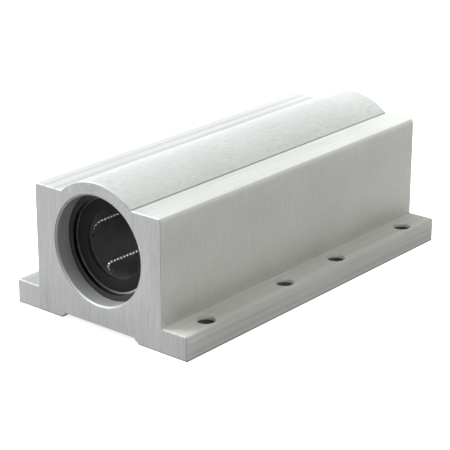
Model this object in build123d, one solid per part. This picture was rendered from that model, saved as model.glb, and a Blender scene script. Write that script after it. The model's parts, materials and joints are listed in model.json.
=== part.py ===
from build123d import *
import os
from math import cos, floor, pi, radians, sin, sqrt

# A long linear bearing block for a 1 inch shaft. An aluminium housing carries two ball
# bushings on one axis, and snap rings hold each of them at both ends.
# X runs across the block, Y along the shaft with the front face at the lower Y, Z up.
# The origin is at the middle of the footprint, on the surface that the block stands on.
# Lengths are in millimetres. Angles are in degrees about the shaft, from +X towards +Z.

INCH = 25.4

# Housing section
body_width = 2.375 * INCH
flange_reach = 0.4375 * INCH
flange_thickness = 9.2
shoulder_height = 1.9375 * INCH
shaft_height = 1.1875 * INCH
hump_radius = 1.0 * INCH
shoulder_edge_radius = 0.4
shoulder_lean_height = 2.3
shoulder_lean_run = 0.35
flange_edge_radius = 0.4
flange_root_radius = 0.3
hump_relief_radius = 0.2

# Shallow relief along the underside, which leaves a foot on each side
relief_width = 37.7
relief_depth = 1.95
relief_side_run = 2.2

# Housing length, mouths and bolt holes, four in each flange
housing_length = 6.0 * INCH
end_edge_chamfer = 0.35
mouth_step = 0.44
mouth_chamfer = 0.65
bolt_hole_radius = 3.4
bolt_hole_chamfer = 0.2
bolt_offset = 0.25 * INCH
outer_bolt_spacing = 4.75 * INCH
inner_bolt_spacing = 1.25 * INCH

# Ball bushing
shaft_radius = 0.5 * INCH
bushing_radius = 0.78125 * INCH
bushing_length = 2.25 * INCH
bushing_depth = 8.1
bushing_clearance = 0.02
sleeve_wall = 2.49
sleeve_end_chamfer = 0.4
cage_shaft_gap = 0.25
cage_sleeve_gap = 0.05
cage_end_wall = 0.5

# Snap rings, which sit in grooves against the ends of the bushings
ring_thickness = 1.5
ring_band = 2.9
ring_play = 0.08
ring_groove_depth = 1.29
ring_groove_clearance = 0.15
ring_gap_angle = 15.0
ring_gap = 5.0
ring_ear_radius = 2.2
ring_ear_offset = 0.3
ring_ear_hole_radius = 0.9

# End seals, dished so that the lip stands further out than the rim
seal_sleeve_gap = 0.03
seal_cage_gap = 0.08
seal_rim_depth = 0.2
seal_lip_depth = 0.1
seal_thickness = 1.85
seal_lip_gap = 0.15
seal_lip_width = 0.9
seal_lip_land = 0.5
seal_throat_gap = 0.6

# Balls, and the closed tracks that they run round
circuit_count = 5
first_row_angle = 88.2
row_spacing = 8.4
track_lean = 2.0
ball_radius = 0.03125 * INCH
ball_spacing_gap = 0.05
ball_shaft_gap = 0.08
ball_track_gap = 0.15
window_width = 1.2
window_reach = 5.2

# Hardened plates that back the loaded rows
plate_width = 3.8
plate_overlap = 0.4
plate_end_gap = 1.0
plate_pocket_gap = 0.1
plate_sleeve_gap = 0.02
plate_groove_gap = 0.04
plate_end_chamfer = 0.4

# A cutting body reaches this far past what it cuts
cut_margin = 2.0

# Sizes that follow from the ones above
flange_width = body_width + 2 * flange_reach
bolt_row_spacing = body_width + 2 * bolt_offset
hump_foot = sqrt(hump_radius**2 - (shoulder_height - shaft_height) ** 2)
seat_radius = bushing_radius + bushing_clearance
mouth_radius = seat_radius + mouth_step
ring_groove_radius = seat_radius + ring_groove_depth
ring_outer_radius = ring_groove_radius - ring_groove_clearance
ring_inner_radius = ring_outer_radius - ring_band
ring_groove_width = ring_thickness + 2 * ring_play
sleeve_inner_radius = bushing_radius - sleeve_wall
cage_bore_radius = shaft_radius + cage_shaft_gap
cage_outer_radius = sleeve_inner_radius - cage_sleeve_gap
cage_start = seal_rim_depth + seal_thickness + seal_cage_gap
cage_end = bushing_length - cage_start
loaded_row_radius = shaft_radius + ball_shaft_gap + ball_radius
track_radius = ball_radius + ball_track_gap
plate_inner_radius = loaded_row_radius + plate_overlap
plate_outer_radius = sleeve_inner_radius - plate_sleeve_gap


# Helpers, all about a shaft that lies along the Y axis

def rod(radius, start, end):
    """Round bar on the shaft axis between two places along it."""
    return Pos(0, (start + end) / 2, 0) * Rot(90, 0, 0) * Cylinder(radius, end - start)


def turned(*section):
    """Solid turned about the shaft axis from (radius, place along the shaft) points."""
    return revolve(make_face(Polyline(*section, close=True)), Axis.Y)


def slab(outline, start, end):
    """Plate cut to an outline seen from the front, between two places along the shaft."""
    return extrude(Plane.XZ.offset(-start) * outline, amount=start - end)


# The line of a ball track: two straight rows joined by half turns, all in one plane. The
# plane lies along the shaft's surface at the loaded row, so the other row is further out.

turn_radius = row_spacing / 2
row_start = cage_start + cage_end_wall + track_radius + turn_radius
row_length = bushing_length - 2 * row_start
loaded_row = Vector(loaded_row_radius, 0, 0)
row_middle = Vector(0, bushing_length / 2, 0)
track_across = Vector(-sin(radians(track_lean)), 0, cos(radians(track_lean)))
track_outward = Vector(0, 1, 0).cross(track_across)
track_middle = loaded_row + row_middle + track_across * turn_radius
track_plane = Plane(track_middle, track_across, track_outward)
track_length = 2 * (row_length + pi * turn_radius)
ball_count = floor(track_length / (2 * ball_radius + ball_spacing_gap))


def track_point(distance):
    """Point at a distance along the track, in the track's own plane."""
    half, rest = divmod(distance, track_length / 2)
    side = 1 - 2 * half
    if rest < row_length:
        return Vector(-turn_radius, rest - row_length / 2) * side
    bend = (rest - row_length) / turn_radius
    return Vector(-turn_radius * cos(bend), row_length / 2 + turn_radius * sin(bend)) * side


def track_channel():
    """Space that the balls run in: a round floor along the track, open outwards."""
    band = SlotCenterToCenter(row_length, 2 * (turn_radius + track_radius), rotation=90)
    band -= SlotCenterToCenter(row_length, 2 * (turn_radius - track_radius), rotation=90)
    channel = extrude(band, cage_outer_radius - cage_bore_radius + cut_margin)
    ball_section = Plane.XZ * Pos(turn_radius, 0) * Circle(track_radius)
    half_turn = revolve(ball_section, Axis.Z, revolution_arc=180)
    for side in (-1, 1):
        channel += Pos(side * turn_radius, 0, 0) * rod(track_radius, -row_length / 2, row_length / 2)
        channel += Pos(0, side * row_length / 2, 0) * Rot(0, 0, 90 - 90 * side) * half_turn
    return track_plane * channel


def track_window():
    """Slit along the track that shows the balls until they have left the loaded row."""
    band = SlotCenterToCenter(row_length, 2 * turn_radius + window_width, rotation=90)
    band -= SlotCenterToCenter(row_length, 2 * turn_radius - window_width, rotation=90)
    beyond_reach = Pos(window_reach, 0) * Rectangle(2 * turn_radius, bushing_length)
    return track_plane * extrude(band - beyond_reach, -cut_margin)


def plate_blank(gap):
    """Bar over a loaded row, larger than the plate by a gap, up to beyond the sleeve."""
    length = row_length - 2 * plate_end_gap + 2 * gap
    width = plate_width + 2 * gap
    height = bushing_radius - plate_inner_radius + gap
    middle = Vector(plate_inner_radius - gap + height / 2, 0, 0) + row_middle
    return Pos(middle) * Box(height, length, width)


def about_shaft(part, angle):
    """The part turned about the shaft, from +X towards +Z."""
    return Rot(0, -angle, 0) * part


def circuit_angles():
    """Angles of the loaded rows."""
    return [first_row_angle + 360 / circuit_count * place for place in range(circuit_count)]


# Pieces of one bushing, with its outer end at Y = 0 and the shaft along the Y axis

def bushing_sleeve():
    """Steel sleeve, a plain tube that shows as a bright line inside the snap ring."""
    near = [
        (sleeve_inner_radius, 0),
        (bushing_radius - sleeve_end_chamfer, 0),
        (bushing_radius, sleeve_end_chamfer),
    ]
    far = [(radius, bushing_length - place) for radius, place in reversed(near)]
    return turned(*near, *far)


def end_seal():
    """Rubber seal inside the sleeve's end at Y = 0."""
    rim_radius = sleeve_inner_radius - seal_sleeve_gap
    lip_radius = shaft_radius + seal_lip_gap
    back = seal_rim_depth + seal_thickness
    return turned(
        (rim_radius, back),
        (rim_radius, seal_rim_depth),
        (lip_radius + seal_lip_width, seal_lip_depth),
        (lip_radius, seal_lip_depth),
        (lip_radius, seal_lip_depth + seal_lip_land),
        (shaft_radius + seal_throat_gap, back),
    )


def ball_cage():
    """Moulded cage, pierced by the tracks where the balls reach the shaft."""
    cage = rod(cage_outer_radius, cage_start, cage_end)
    cage -= rod(cage_bore_radius, cage_start - cut_margin, cage_end + cut_margin)
    pocket = track_channel() + track_window() + plate_blank(plate_pocket_gap)
    for angle in circuit_angles():
        cage -= about_shaft(pocket, angle)
    return cage


def load_plate():
    """Hardened bar over a loaded row, with a groove along it for the balls."""
    plate = plate_blank(0)
    ends = plate.faces().sort_by(Axis.Y)
    edges = (ends[0].edges() + ends[-1].edges()).filter_by(Axis.Z).group_by(Axis.X)[0]
    plate = chamfer(edges, plate_end_chamfer)
    plate &= rod(plate_outer_radius, 0, bushing_length)
    groove = rod(ball_radius + plate_groove_gap, 0, bushing_length)
    return plate - Pos(loaded_row) * groove


def ball_circuit():
    """Every ball of one track, as separate solids."""
    spacing = track_length / ball_count
    centres = [track_plane.from_local_coords(track_point(i * spacing)) for i in range(ball_count)]
    return Compound([Pos(centre) * Solid.make_sphere(ball_radius) for centre in centres])


def retaining_ring(start):
    """Internal snap ring with an ear on each side of its gap."""
    ear_place = ring_gap / 2 + ring_ear_radius
    ring = Circle(ring_outer_radius) - Circle(ring_inner_radius)
    ear_centres = [(ring_inner_radius + ring_ear_offset, side * ear_place) for side in (-1, 1)]
    for centre in ear_centres:
        ring += Pos(*centre) * Circle(ring_ear_radius)
    ring &= Circle(ring_outer_radius)
    ring -= Pos(ring_outer_radius, 0) * Rectangle(2 * ring_outer_radius, ring_gap)
    for centre in ear_centres:
        ring -= Pos(*centre) * Circle(ring_ear_hole_radius)
    return slab(Rot(0, 0, ring_gap_angle) * ring, start, start + ring_thickness)


# The housing, in the block's own place

def housing_section():
    """Outline of the block seen from the front."""
    flange = Pos(0, flange_thickness / 2) * Rectangle(flange_width, flange_thickness)
    body_edge = body_width / 2
    shoulder_edge = body_edge - shoulder_lean_run
    lean_start = shoulder_height - shoulder_lean_height
    body = Polygon(
        (-body_edge, 0),
        (body_edge, 0),
        (body_edge, lean_start),
        (shoulder_edge, shoulder_height),
        (-shoulder_edge, shoulder_height),
        (-body_edge, lean_start),
        align=None,
    )
    hump = Pos(0, shaft_height) * Circle(hump_radius)
    foot_edge = relief_width / 2
    ceiling_edge = foot_edge - relief_side_run
    relief = Polygon(
        (-foot_edge, 0),
        (foot_edge, 0),
        (ceiling_edge, relief_depth),
        (-ceiling_edge, relief_depth),
        align=None,
    )
    section = flange + body + hump - relief
    rounded = (
        (shoulder_edge, shoulder_height, shoulder_edge_radius),
        (flange_width / 2, flange_thickness, flange_edge_radius),
        (body_edge, flange_thickness, flange_root_radius),
    )
    for x, z, radius in rounded:
        for side in (-1, 1):
            corner = section.vertices().sort_by_distance((side * x, z, 0))[0]
            section = fillet(corner, radius)
    return section


def bolt_hole_places():
    """Middle of each bolt hole in the flanges."""
    half_row = bolt_row_spacing / 2
    along = (outer_bolt_spacing / 2, inner_bolt_spacing / 2)
    return [(x, y * end) for x in (-half_row, half_row) for y in along for end in (-1, 1)]


def end_bore():
    """Hollow for one bushing and its snap rings, out through the mouth at the outer end."""
    face = -bushing_depth
    step = -ring_groove_width
    wide = mouth_radius + mouth_chamfer
    hollow = turned(
        (0, face - cut_margin),
        (wide, face - cut_margin),
        (wide, face),
        (mouth_radius, face + mouth_chamfer),
        (mouth_radius, step),
        (0, step),
    )
    hollow += rod(seat_radius, step, housing_length / 2 - bushing_depth)
    for start in (-ring_groove_width, bushing_length):
        hollow += rod(ring_groove_radius, start, start + ring_groove_width)
    return hollow


def housing():
    """Aluminium block: the section, relieved along the hump, then bored and drilled."""
    half = housing_length / 2
    block = slab(housing_section(), -half, half)
    ends = block.faces().filter_by(Axis.Y)
    block = chamfer(ends.edges(), end_edge_chamfer)
    for side in (-1, 1):
        relief = rod(hump_relief_radius, -half - cut_margin, half + cut_margin)
        block -= Pos(side * hump_foot, 0, shoulder_height) * relief
    for place in bushing_places().values():
        block -= place * end_bore()
    depth = flange_thickness + 2 * cut_margin
    rim = Cone(bolt_hole_radius, bolt_hole_radius + bolt_hole_chamfer, bolt_hole_chamfer)
    for x, y in bolt_hole_places():
        block -= Pos(x, y, flange_thickness / 2) * Cylinder(bolt_hole_radius, depth)
        block -= Pos(x, y, flange_thickness - bolt_hole_chamfer / 2) * rim
    return block


# The whole block

def bushing_places():
    """Where the outer end of each bushing goes, the rear one turned end for end."""
    to_outer_end = housing_length / 2 - bushing_depth
    front = Pos(0, -to_outer_end, shaft_height)
    rear = Pos(0, to_outer_end, shaft_height) * Rot(0, 0, 180)
    return {"front": front, "rear": rear}


def bushing_pieces():
    """Every piece of one bushing with its snap rings, by name."""
    seal = end_seal()
    pieces = {
        "outer_retaining_ring": retaining_ring(-ring_play - ring_thickness),
        "inner_retaining_ring": retaining_ring(bushing_length + ring_play),
        "bearing_sleeve": bushing_sleeve(),
        "ball_cage": ball_cage(),
        "outer_seal": seal,
        "inner_seal": Pos(0, bushing_length, 0) * mirror(seal, about=Plane.XZ),
    }
    plate = load_plate()
    balls = ball_circuit()
    for number, angle in enumerate(circuit_angles(), start=1):
        pieces[f"load_plate_{number}"] = about_shaft(plate, angle)
        pieces[f"ball_circuit_{number}"] = about_shaft(balls, angle)
    return pieces


def block_pieces():
    """Every piece of the block in its place, by name."""
    pieces = {"housing": housing()}
    bushing = bushing_pieces()
    for end, place in bushing_places().items():
        for name, piece in bushing.items():
            pieces[f"{end}_{name}"] = place * piece
    return pieces


os.makedirs("parts", exist_ok=True)
for name, piece in block_pieces().items():
    export_step(piece, f"parts/{name}.step")
print("row length", round(row_length, 2), "turn radius", round(turn_radius, 2))
print("balls in each circuit", ball_count)
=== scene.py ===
# %% [markdown]
# # A long linear bearing block
# The real part is one length of aluminium section that slides along a one inch shaft. Two
# ball bushings sit in its bore, and snap rings hold them at both ends. The solid pieces
# come from the frame, in metres, and never move. What is left to do here is their finish,
# the light and the camera.
#
# The frame is loaded first.

# %% Load the frame
import json
import math

import bpy
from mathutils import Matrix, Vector


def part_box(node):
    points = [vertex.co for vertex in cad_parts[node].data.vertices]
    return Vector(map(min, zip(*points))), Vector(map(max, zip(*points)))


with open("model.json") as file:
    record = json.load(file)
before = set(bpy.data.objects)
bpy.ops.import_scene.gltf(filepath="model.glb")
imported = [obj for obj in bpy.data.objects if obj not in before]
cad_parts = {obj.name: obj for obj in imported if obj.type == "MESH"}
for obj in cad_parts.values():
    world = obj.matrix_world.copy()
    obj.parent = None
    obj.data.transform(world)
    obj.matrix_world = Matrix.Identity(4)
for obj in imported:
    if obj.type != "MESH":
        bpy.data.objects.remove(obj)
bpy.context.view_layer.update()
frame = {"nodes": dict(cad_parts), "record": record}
print("pieces in the frame:", len(frame["nodes"]))

# %% [markdown]
# ## Places on the block
# A finish has to know where it is: on top of a flange, say, or on the wall of the bore.
# Such places could all be typed in, but typed sizes go stale when the part changes. So
# the outer sizes and the height of the shaft are read from the boxes of the pieces, and
# only the few that no box gives are written as they would be on a drawing.

# %% Sizes of the section
MM = 0.001
low_corner, high_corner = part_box("housing")
cage_low, cage_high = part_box("front_ball_cage")
shaft_height = (cage_low.z + cage_high.z) / 2
body_half_width = 30.1625 * MM
shoulder_top = 49.2125 * MM
flange_top = 9.2 * MM
hole_row = 36.5125 * MM
hump_foot = 16.8 * MM
relief_edge = 18.9 * MM
relief_top = 2.0 * MM
bore_reach = 22.5 * MM
print("block", [round(size / MM, 2) for size in high_corner - low_corner], "mm")
print("shaft axis", round(shaft_height / MM, 3), "mm up")

# %% [markdown]
# ## Camera
# The camera comes before any finish, because a finish is judged through it. A long lens
# from more than half a metre away keeps the long edges nearly parallel, as product
# pictures do. The lens, the place and the two angles were worked out from corners and
# bolt holes whose real places are known. The angles are turned into one direction, which
# the camera then looks against.

# %% Place the camera
camera_place = Vector((0.3733, -0.45434, 0.23781))
camera_azimuth = math.radians(39.794)
camera_elevation = math.radians(20.465)
towards_camera = Vector((
    math.sin(camera_azimuth) * math.cos(camera_elevation),
    -math.cos(camera_azimuth) * math.cos(camera_elevation),
    math.sin(camera_elevation),
))


def look_along(thing, direction):
    """Turns a camera or a lamp so that it looks along a direction."""
    thing.rotation_mode = "QUATERNION"
    thing.rotation_quaternion = direction.to_track_quat("-Z", "Y")


lens_length = 130.14
camera_data = bpy.data.cameras.new("camera")
camera_data.lens = lens_length
camera_data.sensor_width = 36.0
camera = bpy.data.objects.new("camera", camera_data)
bpy.context.scene.collection.objects.link(camera)
camera.location = camera_place
look_along(camera, -towards_camera)
bpy.context.scene.camera = camera
print("camera to block", round(camera_place.length, 3), "m, lens", lens_length, "mm")

# %% [markdown]
# ## Building blocks for a finish
# Every finish is a small network of shader nodes. Nodes can be set up one line at a time,
# but a few helpers keep the networks short enough to read. The three here add a node, fill
# its inputs and do a sum. More follow where they are first needed.

# %% Node helpers
def fill(finish, socket, value):
    """Gives a socket a plain value, or links it to another node's output."""
    if isinstance(value, bpy.types.NodeSocket):
        finish.node_tree.links.new(value, socket)
    else:
        socket.default_value = value


def add_node(finish, kind, inputs, **settings):
    """Adds a shader node with its settings, fills its inputs and returns it."""
    node = finish.node_tree.nodes.new("ShaderNode" + kind)
    for name, value in settings.items():
        setattr(node, name, value)
    for name, value in inputs.items():
        fill(finish, node.inputs[name], value)
    return node


def sum_of(finish, operation, first, second=0.0, third=0.0):
    """Output of a math node."""
    inputs = {0: first, 1: second, 2: third}
    return add_node(finish, "Math", inputs, operation=operation).outputs[0]


print("node helpers ready")

# %% [markdown]
# ## Aluminium
# The block is one extrusion, sawn to length, milled, and bored. Each face shows its own
# lines: upright ones on the ends and on the side walls, slanting short ones on the hump,
# round ones in the bore, and long ones from the die on the flanges and shoulders. One
# material can hold them all, if masks say which face is which. Five materials would need
# the faces to be sorted by hand, and the mesh isn't ours to change.
#
# A mask is a value that is 1 on a face and 0 off it. The first cell gives the things that
# masks are made of: the place, the direction that the surface faces, and how far a point
# is from the shaft, from the middle and from the nearest end.

# %% Place and direction on the block
def new_finish(name, colour, metallic, roughness):
    """A material with one main shader, and that shader."""
    finish = bpy.data.materials.new(name)
    finish.use_nodes = True
    shader = finish.node_tree.nodes["Principled BSDF"]
    shader.inputs["Base Color"].default_value = (*colour, 1.0)
    shader.inputs["Metallic"].default_value = metallic
    shader.inputs["Roughness"].default_value = roughness
    return finish, shader


def place_on_piece(finish):
    """Node that gives the place and the direction of the surface, on the piece itself."""
    return add_node(finish, "TexCoord", {})


aluminium, aluminium_shader = new_finish(
    "satin_aluminium", colour=(0.48, 0.48, 0.46), metallic=0.55, roughness=0.56,
)
on_block = place_on_piece(aluminium)
place = on_block.outputs["Object"]
at = add_node(aluminium, "SeparateXYZ", {0: place}).outputs
facing = add_node(aluminium, "SeparateXYZ", {0: on_block.outputs["Normal"]}).outputs


def alu_sum(operation, first, second=0.0, third=0.0):
    """A sum in the aluminium's network."""
    return sum_of(aluminium, operation, first, second, third)


height_from_shaft = alu_sum("SUBTRACT", at[2], shaft_height)
across_squared = alu_sum("MULTIPLY", at[0], at[0])
from_shaft_squared = alu_sum("MULTIPLY_ADD", height_from_shaft, height_from_shaft, across_squared)
from_shaft = alu_sum("SQRT", from_shaft_squared)
from_middle = alu_sum("ABSOLUTE", at[0])
from_end = alu_sum("SUBTRACT", high_corner.y, alu_sum("ABSOLUTE", at[1]))
end_turn = alu_sum("ABSOLUTE", facing[1])
side_turn = alu_sum("ABSOLUTE", facing[0])
print("measures of a point:", len(aluminium.node_tree.nodes), "nodes so far")

# %% [markdown]
# Now the faces themselves. A limit on a place or on a direction gives a simple mask, and
# simple masks are multiplied to narrow them down. A direction is 1 where a face looks
# straight that way and 0 where it looks square to it, so a limit of 0.7 takes the faces
# that lean away by up to about 45 degrees. The limits on height sit a little above the
# real edge, so that the rounded corner goes with the face below it.

# %% Which face is which
clear_of_shoulder = 0.2 * MM
clear_of_flange = 0.6 * MM


def above(value, limit):
    """Mask of the points where a value is over a limit."""
    return alu_sum("GREATER_THAN", value, limit)


def below(value, limit):
    """Mask of the points where a value is under a limit."""
    return alu_sum("LESS_THAN", value, limit)


def all_of(*values):
    """Values multiplied. Of masks, this leaves the points that are in every one."""
    joined = values[0]
    for value in values[1:]:
        joined = alu_sum("MULTIPLY", joined, value)
    return joined


faces_end = above(end_turn, 0.7)
beside_end = below(end_turn, 0.5)
slanted = below(end_turn, 0.9)
stands = below(alu_sum("ABSOLUTE", facing[2]), 0.5)
near_shaft = below(from_shaft, bore_reach)
in_bore = all_of(near_shaft, below(end_turn, 0.7))
on_hump = above(at[2], shoulder_top + clear_of_shoulder)
over_flange = above(at[2], flange_top + clear_of_flange)
under_flange = alu_sum("SUBTRACT", 1.0, over_flange)
on_wall = all_of(above(side_turn, 0.9), over_flange)
upright = alu_sum("MAXIMUM", faces_end, on_wall)
faces_up = all_of(above(facing[2], 0.6), over_flange)
print("masks: ends, bore, hump, side walls, top")

# %% [markdown]
# The flanges, the bolt holes in them and the corners of the section are smaller, so they
# need more limits each. The wall of a bolt hole is parted by depth. The mouth catches the
# light from above, and everything below it lies in the dark.

# %% Flanges, bolt holes and corners
mouth_depth = 1.3 * MM
row_reach = 4 * MM
clear_of_end = 6 * MM
clear_of_foot = 0.1 * MM
rim_dark_from = shaft_height - 17 * MM
rim_dark_to = shaft_height - 7 * MM


def climb(finish, value, low, high):
    """0 below a low value, 1 over a high one, and a straight climb between them."""
    inputs = {"Value": value, "From Min": low, "From Max": high}
    return add_node(finish, "MapRange", inputs).outputs[0]


on_flange = all_of(above(facing[2], 0.15), under_flange, beside_end)
left_flange = all_of(on_flange, below(at[0], -body_half_width))
right_flange = alu_sum("SUBTRACT", on_flange, left_flange)
by_hole_row = alu_sum("COMPARE", from_middle, hole_row, row_reach)
in_hole = all_of(by_hole_row, under_flange, above(from_end, clear_of_end), stands)
hole_mouth = all_of(in_hole, above(at[2], flange_top - mouth_depth))
hole_depth = alu_sum("SUBTRACT", in_hole, hole_mouth)
hump_side = all_of(below(from_middle, hump_foot + clear_of_foot), beside_end)
wall_foot = all_of(stands, beside_end)
in_relief = all_of(below(from_middle, relief_edge), below(at[2], relief_top), beside_end)
upper_rim = climb(aluminium, at[2], rim_dark_from, rim_dark_to)
upper_rim = all_of(upper_rim, near_shaft)
print("masks: flanges, bolt holes, foot of the hump and of the walls, relief, rim of the bore")

# %% [markdown]
# ## Tool lines
# Metal takes its look from the lines that a tool leaves in it. A picture of real metal
# could be wrapped round the piece, but it would have seams and only one scale. So the
# lines are drawn as noise that is stretched along the stroke of the tool: short across
# it, long along it. The noise reads the place on the piece in metres, and the lines keep
# their real width from every side.

# %% Noise as tool lines
def lines(finish, place, fineness, detail=2.0):
    """Noise from 0 to 1. Fineness is how many blotches a metre holds along each axis."""
    spread = add_node(finish, "VectorMath", {0: place, 1: fineness}, operation="MULTIPLY")
    inputs = {"Vector": spread.outputs[0], "Scale": 1.0, "Detail": detail}
    return add_node(finish, "TexNoise", inputs).outputs["Fac"]


print("tool lines ready")

# %% [markdown]
# ## Direction of the lines
# Each face needs its own direction of lines. The belt that dressed the hump ran at a
# slant, so the place is turned about the vertical before its lines are drawn. A worn
# cutter left shallow strokes across the side walls, so there the place is tipped as well.
# Every line width below is written as one over its size, because noise counts how many
# lines a metre holds. The patches and clouds are plain round noise, for later.

# %% Lines of each face
hump_slant = math.radians(13)
stroke_tip = math.radians(-11)
upright_lines = (1 / (0.48 * MM), 1 / (0.75 * MM), 1 / (8 * MM))
die_lines = (1 / (1.3 * MM), 1 / (60 * MM), 1 / (1.3 * MM))
hump_lines = (1 / (0.75 * MM), 1 / (3.2 * MM), 1 / (0.75 * MM))
round_lines = (1 / (14 * MM), 1 / (0.4 * MM), 1 / (14 * MM))
stroke_lines = (0.0, 1 / (16 * MM), 1 / (1.3 * MM))
patch_fineness = (90.0, 90.0, 90.0)
cloud_fineness = (34.0, 34.0, 34.0)


def pick_vector(finish, mask, where_off, where_on):
    """One of two vectors, by a mask."""
    inputs = {0: mask, 4: where_off, 5: where_on}
    return add_node(finish, "Mix", inputs, data_type="VECTOR").outputs[1]


def turn_place(angle, axis):
    """The place on the block, turned about an axis."""
    inputs = {"Vector": place, "Angle": angle}
    return add_node(aluminium, "VectorRotate", inputs, rotation_type=axis).outputs[0]


line_place = pick_vector(aluminium, on_hump, place, turn_place(hump_slant, "Z_AXIS"))
fineness = pick_vector(aluminium, upright, die_lines, upright_lines)
fineness = pick_vector(aluminium, on_hump, fineness, hump_lines)
fineness = pick_vector(aluminium, in_bore, fineness, round_lines)
fine_lines = lines(aluminium, line_place, fineness)
strokes = lines(aluminium, turn_place(stroke_tip, "X_AXIS"), stroke_lines)
patches = lines(aluminium, place, patch_fineness)
clouds = lines(aluminium, place, cloud_fineness)
print("hump lines turned", round(math.degrees(hump_slant)), "degrees")
print("cutter strokes tipped", round(math.degrees(stroke_tip)), "degrees")

# %% [markdown]
# ## Colour
# Bare aluminium isn't one grey, and the four tints here are partly the metal's own colour
# and partly painted light. The walls and the right flange keep the skin that the die left,
# and are painted slightly warm, as warmer light from the right makes them. The sawn ends
# and the bore are colder, and the dressed top is colder and lighter still. The left half
# of the top is painted cooler than the right, as cooler light from the left makes it. The
# left flange looks like the top and is counted with it. Lamps could be tinted instead, but
# then each tint would spill over the other faces. So the metal itself carries four tints,
# and the masks pick between them.

# %% Tint of each face
def pick_colour(finish, mask, where_off, where_on):
    """One of two colours, by a mask."""
    inputs = {0: mask, 6: where_off, 7: where_on}
    return add_node(finish, "Mix", inputs, data_type="RGBA").outputs[2]


# Painted light in the tints: warm light on the walls and the right half, cool on the left.
skin_tint_and_warm_light = (0.49, 0.495, 0.462, 1.0)
sawn_tint = (0.48, 0.49, 0.485, 1.0)
left_top_tint_and_cool_light = (0.511, 0.53, 0.527, 1.0)
right_top_tint_and_warm_light = (0.506, 0.53, 0.509, 1.0)
tint_blend = 5 * MM
right_half = climb(aluminium, at[0], 0.0, tint_blend)
top_tint = pick_colour(aluminium, right_half, left_top_tint_and_cool_light, right_top_tint_and_warm_light)
cut_metal = alu_sum("MAXIMUM", faces_end, in_bore)
top_and_left_flange = alu_sum("MAXIMUM", faces_up, left_flange)
tint = pick_colour(aluminium, cut_metal, skin_tint_and_warm_light, sawn_tint)
tint = pick_colour(aluminium, top_and_left_flange, tint, top_tint)
print("tints: skin, sawn, left and right of the top")

# %% [markdown]
# ## Strength of the lines
# The lines show as small changes of tone. They fade and return in patches, because no
# tool presses evenly, and a wide soft cloud of tone lies over the whole block. The saw
# bit deepest on the ends, so their lines are the strongest, and those of the side walls
# are the weakest.

# %% Tone of the lines
weakest_pressure = -0.5
strongest_pressure = 2.5
line_swing = 0.30
stroke_swing = 0.08
cloud_swing = 0.22


def between(finish, value, low, high):
    """A value from 0 to 1 spread over another range."""
    inputs = {"Value": value, "To Min": low, "To Max": high}
    return add_node(finish, "MapRange", inputs).outputs[0]


def swing(noise, amount):
    """Noise as a change about zero."""
    return alu_sum("MULTIPLY_ADD", noise, amount, -amount / 2)


line_strength = 1.0
for face, change in ((on_wall, -0.2), (on_hump, 0.25), (faces_end, 0.45)):
    line_strength = alu_sum("MULTIPLY_ADD", face, change, line_strength)
pressure = between(aluminium, patches, weakest_pressure, strongest_pressure)
line_tone = all_of(swing(fine_lines, line_swing), pressure, line_strength)
stroke_tone = all_of(swing(strokes, stroke_swing), on_wall)
shade = alu_sum("ADD", line_tone, swing(clouds, cloud_swing))
shade = alu_sum("ADD", shade, stroke_tone)
print("lines, strokes and clouds are in the tone")

# %% [markdown]
# ## Stripes
# A few broad stripes run the whole length, always at the same place in the section.
# Corners, fillets and deep places also hold a tone of their own, and so do parts of faces
# that more or less light falls on: these tones are painted light and painted shade. Each is
# one row in a table: what is measured, where the stripe has its middle, how far it reaches,
# how much it lightens or darkens, and on which faces. A table is easier to correct against
# the real part than a painted picture would be.
#
# The first table holds the top: stripes of the shoulders and the hump, painted light that
# grows towards the far end, a painted highlight along the crest of the hump, painted light
# beside the foot of the hump and a painted light line along it, and painted shade in the
# corner under it.

# %% Stripes on the top
top_stripes = (
    (at[0], -25.4 * MM, 1.8 * MM, -0.17, faces_up),
    (at[0], -20.3 * MM, 2.2 * MM, -0.19, faces_up),
    (at[0], 24.0 * MM, 8.0 * MM, 0.05, faces_up),
    # Painted light: the tops grow lighter towards the far end.
    (at[1], high_corner.y, 42.0 * MM, 0.11, faces_up),
    # Painted highlight: a bright line along the crest of the hump.
    (at[0], -12.3 * MM, 1.6 * MM, 0.12, on_hump),
    (at[0], -0.5 * MM, 6.5 * MM, -0.06, on_hump),
    (at[0], 15.5 * MM, 4.0 * MM, -0.03, on_hump),
    # Painted light on the shoulder beside the foot of the hump, and a light line next to it.
    (from_middle, 17.0 * MM, 0.8 * MM, 0.20, faces_up),
    (from_middle, 18.1 * MM, 1.0 * MM, 0.07, faces_up),
    # Painted shade: a thin dark line in the corner at the foot of the hump.
    (at[2], shoulder_top + 0.20 * MM, 0.17 * MM, -0.85, hump_side),
)
print("stripes on the top:", len(top_stripes))

# %% [markdown]
# The second table holds the side walls and the flanges. The wall is painted lighter along
# its top edge, at its foot and towards the far end, where more light falls, and two darker
# lines run along the side of each flange. The flange tops are painted lighter towards
# their outer edge, and the right one near the front end, where light comes in over the
# front corner. The very bottom edge is painted dark, as a painted contact shadow where it
# stands on whatever lies under it.

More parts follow.
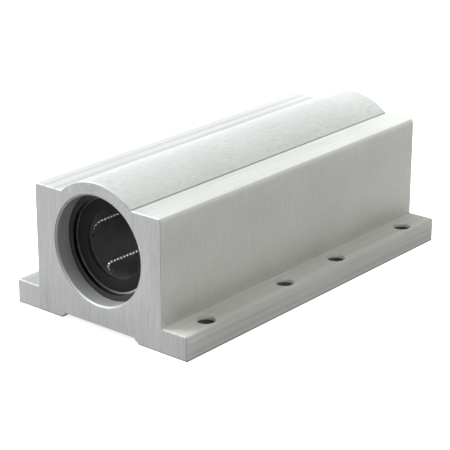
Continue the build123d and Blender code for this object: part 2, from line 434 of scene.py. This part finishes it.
# %% Stripes on walls and flanges
side_stripes = (
    # Painted light: the wall is lighter along its top edge, where light from above falls.
    (at[2], shoulder_top, 1.6 * MM, 0.18, on_wall),
    (at[2], shoulder_top - 11.0 * MM, 14.0 * MM, -0.05, on_wall),
    # Painted light: the foot of the wall is lifted against the shade of its corner.
    (at[2], flange_top + 0.2 * MM, 3.0 * MM, 0.09, on_wall),
    (at[2], flange_top + 0.2 * MM, 1.4 * MM, 0.08, wall_foot),
    # Painted light: the wall grows lighter towards the far end.
    (at[1], high_corner.y, 40.0 * MM, 0.05, on_wall),
    (at[2], 4.5 * MM, 8.0 * MM, -0.05, side_turn),
    (at[2], 5.5 * MM, 1.3 * MM, -0.07, side_turn),
    (at[2], 2.6 * MM, 1.6 * MM, -0.10, side_turn),
    # Painted shade: a contact shadow along the very bottom edge.
    (at[2], 0.0, 0.8 * MM, -0.80, 1.0),
    (from_middle, 33.3 * MM, 0.9 * MM, -0.04, facing[2]),
    (from_middle, 36.9 * MM, 1.6 * MM, -0.06, facing[2]),
    # Painted light: the flange top is lighter towards its outer edge.
    (from_middle, 40.6 * MM, 2.4 * MM, 0.09, on_flange),
    # Painted light: the right flange is lighter near the front end.
    (at[1], low_corner.y, 26 * MM, 0.28, right_flange),
    (at[2], flange_top, 0.5 * MM, -0.14, left_flange),
)
print("stripes on walls and flanges:", len(side_stripes))

# %% [markdown]
# The last table holds the ends, the bore and the deep places. The ends are painted darker
# at the bottom and on the right and lighter on the left, as the light falls on them. The
# bore is painted darker towards its roof, where least light comes in, and so is the upper
# half of its chamfer, while its floor is painted lighter. The shallow relief under the base
# is painted close to black, as painted shade, and a bolt hole is painted light only at its
# mouth.

# %% Stripes on ends, bore and deep places
deep_stripes = (
    # Painted light and shade across the ends.
    (at[2], 0.0, 20.0 * MM, -0.05, faces_end),
    (at[0], high_corner.x, 16.0 * MM, -0.09, faces_end),
    (at[0], low_corner.x, 16.0 * MM, 0.08, faces_end),
    (from_end, 0.0, 0.25 * MM, -0.4, slanted),
    (end_turn, 0.707, 0.1, -0.35, upper_rim),
    (at[2], shaft_height + 22 * MM, 24 * MM, -0.52, in_bore),
    # Painted light on the floor of the bore.
    (at[2], shaft_height - 14 * MM, 12 * MM, 0.15, in_bore),
    # Painted shade in the relief under the base.
    (at[2], 0.0, 12.0 * MM, -1.0, in_relief),
    (at[2], flange_top, 9.0 * MM, 1.0, hole_mouth),
    (at[2], flange_top - 3.2 * MM, 30.0 * MM, -0.6, hole_depth),
)
print("stripes on ends, bore and deep places:", len(deep_stripes))

# %% [markdown]
# All rows go through the same helper, which is 1 in the middle of a stripe and fades
# smoothly to 0 at its reach. The changes are added up, and the sum scales the tint. The
# sum is kept above zero, because a colour can't be less than black.

# %% Draw the stripes
darkest = 0.02


def scale_colour(finish, colour, tone):
    """A colour made lighter or darker by a tone."""
    inputs = {0: colour, "Scale": tone}
    return add_node(finish, "VectorMath", inputs, operation="SCALE").outputs[0]


def stripe(value, middle, reach):
    """1 in the middle of a stripe, and 0 beyond its reach."""
    distance = alu_sum("ABSOLUTE", alu_sum("SUBTRACT", value, middle))
    inputs = {"Value": distance, "From Max": reach, "To Min": 1.0, "To Max": 0.0}
    node = add_node(aluminium, "MapRange", inputs, interpolation_type="SMOOTHSTEP")
    return node.outputs[0]


for value, middle, reach, change, where in top_stripes + side_stripes + deep_stripes:
    mark = alu_sum("MULTIPLY", stripe(value, middle, reach), where)
    shade = alu_sum("MULTIPLY_ADD", mark, change, shade)
shade = alu_sum("MAXIMUM", alu_sum("ADD", shade, 1.0), darkest)
shaded = scale_colour(aluminium, tint, shade)
fill(aluminium, aluminium_shader.inputs["Base Color"], shaded)
print("aluminium has", len(aluminium.node_tree.nodes), "nodes")

# %% [markdown]
# ## Gloss
# Fully metallic aluminium would mirror the lamps and show hard edges between them. The
# real skin is dulled by a thin oxide, so it counts as just over half metal, and rough.
# The tops of the flanges are duller still. Under the block nothing shines, so the sheen
# is taken away in the relief.

# %% Gloss of the aluminium
least_rough = 0.48
most_rough = 0.64
line_dulling = 0.12
flange_dulling = 0.2
skin_metal = 0.55
flange_metal = 0.20
skin_sheen = 0.5
cloud_dullness = between(aluminium, clouds, least_rough, most_rough)
dullness = alu_sum("ADD", cloud_dullness, swing(fine_lines, line_dulling))
dullness = alu_sum("MULTIPLY_ADD", on_flange, flange_dulling, dullness)
metal_share = between(aluminium, on_flange, skin_metal, flange_metal)
sheen = between(aluminium, in_relief, skin_sheen, 0.0)
fill(aluminium, aluminium_shader.inputs["Roughness"], dullness)
fill(aluminium, aluminium_shader.inputs["Metallic"], metal_share)
fill(aluminium, aluminium_shader.inputs["Specular IOR Level"], sheen)
print("roughness from", least_rough, "to", most_rough, "before the lines")

# %% [markdown]
# ## Leaning edges
# Tumbling in stone chips takes the crispness off the long edges, and the face leans over
# a little before the corner is reached. The lean is far too slight to be seen in the
# outline, but it catches the light. The mesh stays as it is, so the lean goes into the
# same bumps as the lines.

# %% Bumps of the aluminium
line_height = 0.012 * MM
wall_lean_start = shoulder_top - 2.0 * MM
wall_lean_radius = 4.5 * MM
flange_lean_start = high_corner.x - 3.0 * MM
flange_lean_radius = 14.0 * MM


def roughen(finish, shader, height, depth):
    """Small bumps. A height of 1 stands out by the depth, in metres."""
    bump = add_node(finish, "Bump", {"Height": height, "Distance": depth, "Strength": 1.0})
    fill(finish, shader.inputs["Normal"], bump.outputs[0])


def lean(value, start, radius):
    """Drop of a surface that starts to curve at a place, in metres."""
    past = alu_sum("MAXIMUM", alu_sum("SUBTRACT", value, start), 0.0)
    return alu_sum("MULTIPLY", alu_sum("MULTIPLY", past, past), -0.5 / radius)


wall_lean = all_of(lean(at[2], wall_lean_start, wall_lean_radius), on_wall)
flange_lean = all_of(lean(from_middle, flange_lean_start, flange_lean_radius), on_flange)
height = alu_sum("MULTIPLY_ADD", fine_lines, line_height, wall_lean)
height = alu_sum("ADD", height, flange_lean)
roughen(aluminium, aluminium_shader, height, 1.0)
print("tool lines are", round(line_height / MM, 3), "mm high")

# %% [markdown]
# ## Steel, plastic and rubber inside the bore
# The sleeves are ground steel, the snap rings are blacked spring steel, and the cages and
# the seals are black. All of them were turned, moulded or ground round the shaft, so one
# recipe serves them. It draws fine lines round the shaft and small blotches over them.
#
# Two more tones make up for light that has to find its way into a deep bore. One is for
# walls, which face the shaft and catch less of it than the ends do. The other is for the
# top, which the edge of the bore shades.

# %% Recipe for a piece round the shaft
shade_from = shaft_height - 8 * MM
shade_to = shaft_height + 12 * MM
round_stretch = 0.05
blotch_fineness = (300.0, 300.0, 300.0)
least_dulled = 0.85
most_dulled = 1.15


def turned_finish(
    name, colour, metallic, roughness, sheen, line_width, line_depth, spread, wall, top
):
    """A finish with lines round the shaft, and painted light and shade for its wall and its top.
    """
    finish, shader = new_finish(name, colour, metallic, roughness)
    piece_place = place_on_piece(finish)
    where = piece_place.outputs["Object"]
    turn = add_node(finish, "SeparateXYZ", {0: piece_place.outputs["Normal"]}).outputs[1]
    faces_shaft = sum_of(finish, "LESS_THAN", sum_of(finish, "ABSOLUTE", turn), 0.5)
    fine = 1 / line_width
    long = fine * round_stretch
    marks = lines(finish, where, (long, fine, long), 3.0)
    blotches = lines(finish, where, blotch_fineness, 3.0)
    line_tone = between(finish, marks, 1 - spread, 1 + spread)
    blotch_tone = between(finish, blotches, 1 - spread, 1 + spread)
    tone = sum_of(finish, "MULTIPLY", line_tone, blotch_tone)
    tone = sum_of(finish, "MULTIPLY", tone, between(finish, faces_shaft, 1.0, wall))
    up = add_node(finish, "SeparateXYZ", {0: where}).outputs[2]
    climbed = climb(finish, up, shade_from, shade_to)
    tone = sum_of(finish, "MULTIPLY", tone, between(finish, climbed, 1.0, top))
    fill(finish, shader.inputs["Base Color"], scale_colour(finish, colour, tone))
    dulled = between(finish, blotches, roughness * least_dulled, roughness * most_dulled)
    fill(finish, shader.inputs["Roughness"], dulled)
    shine = between(finish, faces_shaft, sheen, sheen * min(wall, 1.0))
    fill(finish, shader.inputs["Specular IOR Level"], shine)
    roughen(finish, shader, marks, line_depth)
    return finish


print("shaded from", round(shade_from / MM, 1), "to", round(shade_to / MM, 1), "mm up")

# %% [markdown]
# The steels come first. The snap rings are nearly black, and their inner edge is painted
# darker still, as painted shade in the gap behind the ring, and hardly shines. Sleeves,
# load plates and balls are bright, and the top of each sleeve is painted darker, as painted
# shade from the edge of the bore. Only a thin line of the sleeve and the rows of balls can
# be seen, so their gloss is set softer than that of polished steel, and they show as calm
# lines of light rather than as sparks.

# %% Steel finishes
finishes = {"housing": aluminium}
finishes["retaining_ring"] = turned_finish(
    "blacked_steel", colour=(0.052, 0.046, 0.042), metallic=0.6, roughness=0.5, sheen=0.5,
    # A wall tone of 0.05 is painted shade on the ring's inner edge.
    line_width=0.3 * MM, line_depth=0.010 * MM, spread=0.2, wall=0.05, top=0.8,
)
finishes["bearing_sleeve"] = turned_finish(
    "ground_steel", colour=(0.45, 0.44, 0.42), metallic=1.0, roughness=0.42, sheen=0.5,
    # A top tone of 0.15 is painted shade on the top of the sleeve.
    line_width=0.2 * MM, line_depth=0.005 * MM, spread=0.15, wall=1.0, top=0.15,
)
finishes["load_plate"] = turned_finish(
    "hardened_steel", colour=(0.5, 0.5, 0.49), metallic=1.0, roughness=0.3, sheen=0.5,
    line_width=0.2 * MM, line_depth=0.004 * MM, spread=0.1, wall=1.0, top=1.0,
)
finishes["ball"] = turned_finish(
    "bearing_steel", colour=(0.85, 0.85, 0.84), metallic=0.7, roughness=0.45, sheen=0.5,
    line_width=0.3 * MM, line_depth=0.001 * MM, spread=0.05, wall=1.0, top=1.0,
)
print("finishes:", ", ".join(finishes))

# %% [markdown]
# The cages are moulded plastic with a soft gloss, and the seals are matt rubber. Both are
# black, and black things differ by their shine more than by their colour. The seal's
# inner edge is painted lighter, as a painted highlight along its lip, because it would be
# lost against the cage otherwise.

# %% Plastic and rubber finishes
finishes["ball_cage"] = turned_finish(
    "black_plastic", colour=(0.14, 0.14, 0.14), metallic=0.0, roughness=0.36, sheen=0.6,
    line_width=0.4 * MM, line_depth=0.004 * MM, spread=0.2, wall=1.0, top=0.4,
)
finishes["seal"] = turned_finish(
    "black_rubber", colour=(0.016, 0.016, 0.016), metallic=0.0, roughness=0.7, sheen=0.15,
    # A wall tone of 3 is a painted highlight on the seal's inner edge.
    line_width=0.4 * MM, line_depth=0.010 * MM, spread=0.2, wall=3.0, top=0.9,
)
print("finishes:", ", ".join(finishes))

# %% [markdown]
# ## Dress the pieces
# The frame's record gives every piece a slot, such as ball or seal. The finishes are kept
# by the same slot names, so one loop dresses them all and no piece can be forgotten.

# %% Put the finishes on the pieces
for row in frame["record"]["subparts"]:
    piece = frame["nodes"][row["node"]]
    piece.data.materials.clear()
    piece.data.materials.append(finishes[row["material_slot"]])

# %% [markdown]
# ## Floor
# The block stands on a white sheet. A plain white sheet comes out grey wherever less
# light falls on it, and one that glows in full swallows the shadow. This one glows where
# the camera sees it and, more faintly, where the metal mirrors it, but the glow doesn't
# light the block. That carries the sheet to pure white, while the soft shadow close under
# the block stays. It lies a hair below the base, so that the two faces don't fight.

# %% White floor
floor_reach = 1.0
floor_drop = 0.02 * MM
glow_to_camera = 0.9
glow_in_mirrors = 0.3
floor_mesh = bpy.data.meshes.new("floor")
sides = ((-1, -1), (1, -1), (1, 1), (-1, 1))
floor_corners = [(x * floor_reach, y * floor_reach, 0.0) for x, y in sides]
floor_mesh.from_pydata(floor_corners, [], [(0, 1, 2, 3)])
floor = bpy.data.objects.new("floor", floor_mesh)
bpy.context.scene.collection.objects.link(floor)
floor.location.z = -floor_drop
floor_finish, floor_shader = new_finish(
    "white_floor", colour=(0.8, 0.8, 0.8), metallic=0.0, roughness=0.9,
)
rays = add_node(floor_finish, "LightPath", {}).outputs
mirrored = sum_of(floor_finish, "MAXIMUM", rays["Is Glossy Ray"], rays["Is Transmission Ray"])
mirrored = sum_of(floor_finish, "MULTIPLY", mirrored, glow_in_mirrors)
glow = sum_of(floor_finish, "MULTIPLY_ADD", rays["Is Camera Ray"], glow_to_camera, mirrored)
floor_shader.inputs["Emission Color"].default_value = (1, 1, 1, 1)
floor_shader.inputs["Specular IOR Level"].default_value = 0.0
fill(floor_finish, floor_shader.inputs["Emission Strength"], glow)
floor_mesh.materials.append(floor_finish)
print("floor", 2 * floor_reach, "m wide")

# %% [markdown]
# ## Light
# The room is white where it is seen or mirrored, and gives no light of its own. A room
# that shines from all sides would flatten the block and fill its shadow. So all light
# comes from lamps whose place is known.

# %% White room
world = bpy.data.worlds.new("room")
bpy.context.scene.world = world
world.use_nodes = True
background = world.node_tree.nodes["Background"]
background.inputs["Color"].default_value = (1, 1, 1, 1)
rays = add_node(world, "LightPath", {}).outputs
seen = sum_of(world, "MAXIMUM", rays["Is Camera Ray"], rays["Is Glossy Ray"])
seen = sum_of(world, "MAXIMUM", seen, rays["Is Transmission Ray"])
fill(world, background.inputs["Strength"], seen)
print("room is white to the camera and in mirrors")

# %% [markdown]
# A product picture is lit by softboxes, which are large and even, so metal shows smooth
# slopes of tone and no hard spots. The strongest one hangs high on the left and makes the
# shoulders bright. The end faces come out lighter than the side wall, because the wall
# sees only the weak lamps on the right. Each row gives a name, the direction from the
# block, the distance, the width, the height and how bright its surface is.

# %% Softboxes
softboxes = (
    ("key", (-0.6, -0.35, 0.72), 1.3, 0.7, 0.7, 8.8),
    ("back", (-0.6, 0.72, 0.35), 1.3, 1.3, 0.6, 1.5),
    ("overhead", (0.0, 0.0, 1.0), 1.3, 1.0, 1.0, 2.3),
    ("right_high", (0.8, 0.1, 0.6), 1.3, 0.8, 0.8, 1.1),
    ("far_right", (0.45, 0.75, 0.45), 0.5, 0.25, 0.25, 1.3),
    ("far_top", (0.05, 0.6, 0.8), 0.4, 0.2, 0.2, 0.5),
    ("horizon", (-0.75, 0.65, 0.16), 1.3, 1.2, 0.3, 0.3),
    ("front_right", (0.5, -0.8, 0.30), 1.3, 0.6, 0.5, 0.4),
)


def hang(data, direction, distance, target):
    """Hangs a lamp at a distance from a target and aims it back at that target."""
    lamp = bpy.data.objects.new(data.name, data)
    bpy.context.scene.collection.objects.link(lamp)
    aim = Vector(direction).normalized()
    lamp.location = target + aim * distance
    look_along(lamp, -aim)


for name, direction, distance, width, tall, brightness in softboxes:
    softbox = bpy.data.lights.new(name, "AREA")
    softbox.shape = "RECTANGLE"
    softbox.size = width
    softbox.size_y = tall
    softbox.energy = brightness * math.pi * width * tall
    hang(softbox, direction, distance, Vector((0.0, 0.0, 0.0)))
    print("softbox", name, round(softbox.energy, 2), "W")

# %% [markdown]
# Softboxes hardly reach the inside of a bore. The cage and the balls would stay black
# without help, and stronger softboxes would burn out the end face. So a narrow lamp
# shines into the front mouth, from the right and a little above. Its cone is narrower
# than the bore and fades all the way to its edge, so no ring of light shows on the end.

# %% Lamp into the bore
bore_light = bpy.data.lights.new("into_bore", "SPOT")
bore_light.energy = 6.5
bore_light.spot_size = math.radians(3.3)
bore_light.spot_blend = 1.0
bore_light.shadow_soft_size = 0.01
aim_beside_shaft = 5 * MM
aim_below_shaft = 3 * MM
bore_target = Vector((aim_beside_shaft, low_corner.y, shaft_height - aim_below_shaft))
bore_lamp_direction = (0.36, -0.92, 0.16)
bore_lamp_distance = 0.5
hang(bore_light, bore_lamp_direction, bore_lamp_distance, bore_target)
beam_width = 2 * bore_lamp_distance * math.tan(bore_light.spot_size / 2)
print("beam at the mouth", round(beam_width / MM, 1), "mm wide")

# %% [markdown]
# ## Picture
# The picture is shown as it is computed, with no film look laid over it, so a tone that
# is set above is the tone that comes out.

# %% Show the picture as it is computed
bpy.context.scene.view_settings.view_transform = "Standard"
